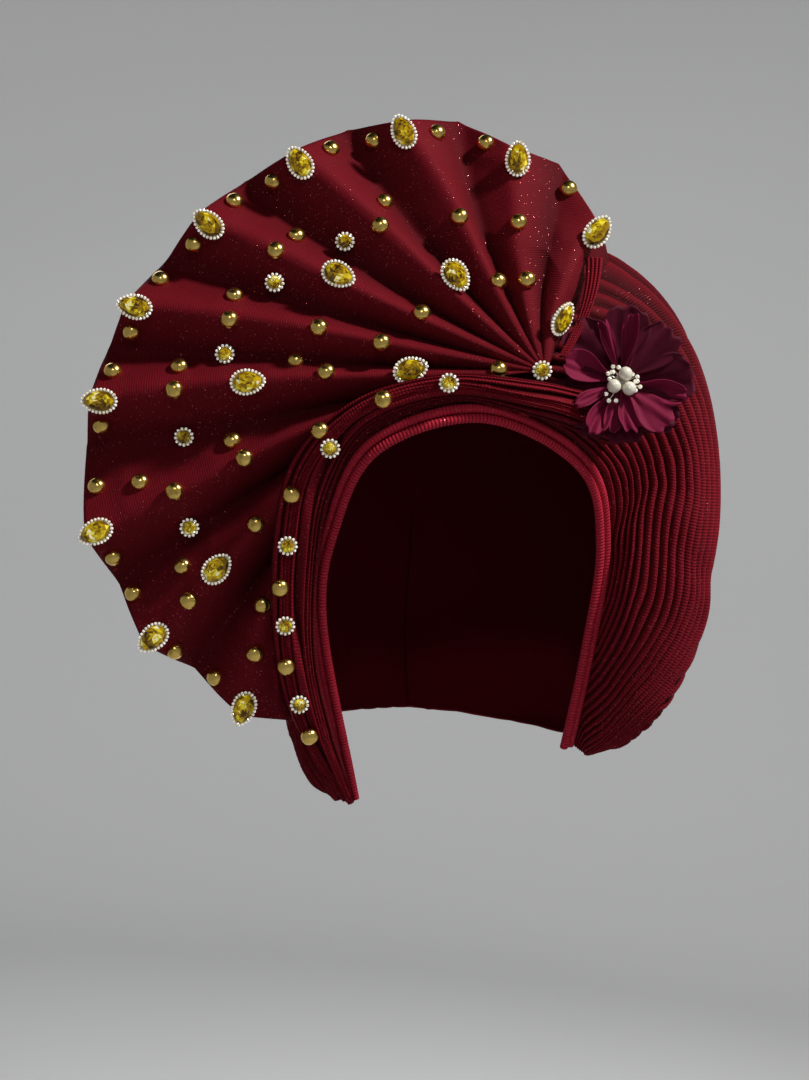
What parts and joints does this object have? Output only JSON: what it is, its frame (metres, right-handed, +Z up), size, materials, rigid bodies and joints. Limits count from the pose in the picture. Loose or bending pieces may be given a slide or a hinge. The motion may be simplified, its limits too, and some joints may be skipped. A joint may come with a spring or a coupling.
{
  "type": "tied gele head tie",
  "caption": "Ready-tied head tie of pleated cloth: a hood open at face and neck, a round pleated fan, brow folds, gold studs, amber drop gems and a chiffon flower.",
  "frame": {"origin": "middle of the hollow where the head sits", "axes": "+Z up; the face opening looks along -Y; the fan spreads towards -X"},
  "size_m": [0.3432, 0.2423, 0.3529],
  "materials": {
    "wine_cloth": "woven with a fine cross rib and a faint metallic sparkle",
    "amber_glass": "faceted stone in a silver stone-set rim",
    "plum_chiffon": "sheer, matt",
    "gold": "polished gold",
    "silver": "polished",
    "pearl": "pearl lustre"
  },
  "bodies": {
    "root": {"head_wrap": "wine_cloth", "head_wrap_back": "wine_cloth", "fan": "wine_cloth", "fan_lower": "wine_cloth", "fan_turnback": "wine_cloth", "brow_folds": "wine_cloth", "face_roll_outer": "wine_cloth", "face_roll_inner": "wine_cloth", "gem_rim_0": "amber_glass", "gem_rim_1": "amber_glass", "gem_rim_2": "amber_glass", "gem_rim_3": "amber_glass", "gem_rim_4": "amber_glass", "gem_rim_5": "amber_glass", "gem_rim_6": "amber_glass", "gem_rim_7": "amber_glass", "gem_rim_8": "amber_glass", "gem_rim_9": "amber_glass", "gem_drop_0": "amber_glass", "gem_drop_1": "amber_glass", "gem_drop_2": "amber_glass", "gem_drop_3": "amber_glass", "gem_drop_4": "amber_glass", "gem_drop_5": "amber_glass", "gem_round_0": "amber_glass", "gem_round_1": "amber_glass", "gem_round_2": "amber_glass", "gem_round_3": "amber_glass", "gem_round_4": "amber_glass", "gem_round_5": "amber_glass", "gem_round_6": "amber_glass", "gem_round_7": "amber_glass", "gem_round_8": "amber_glass", "gem_round_9": "amber_glass", "gem_round_10": "amber_glass", "flower_back": "plum_chiffon", "flower_front": "plum_chiffon", "flower_sprig": "silver", "pearl_0": "pearl", "pearl_1": "pearl", "pearl_2": "pearl"}
  },
  "joints": []
}
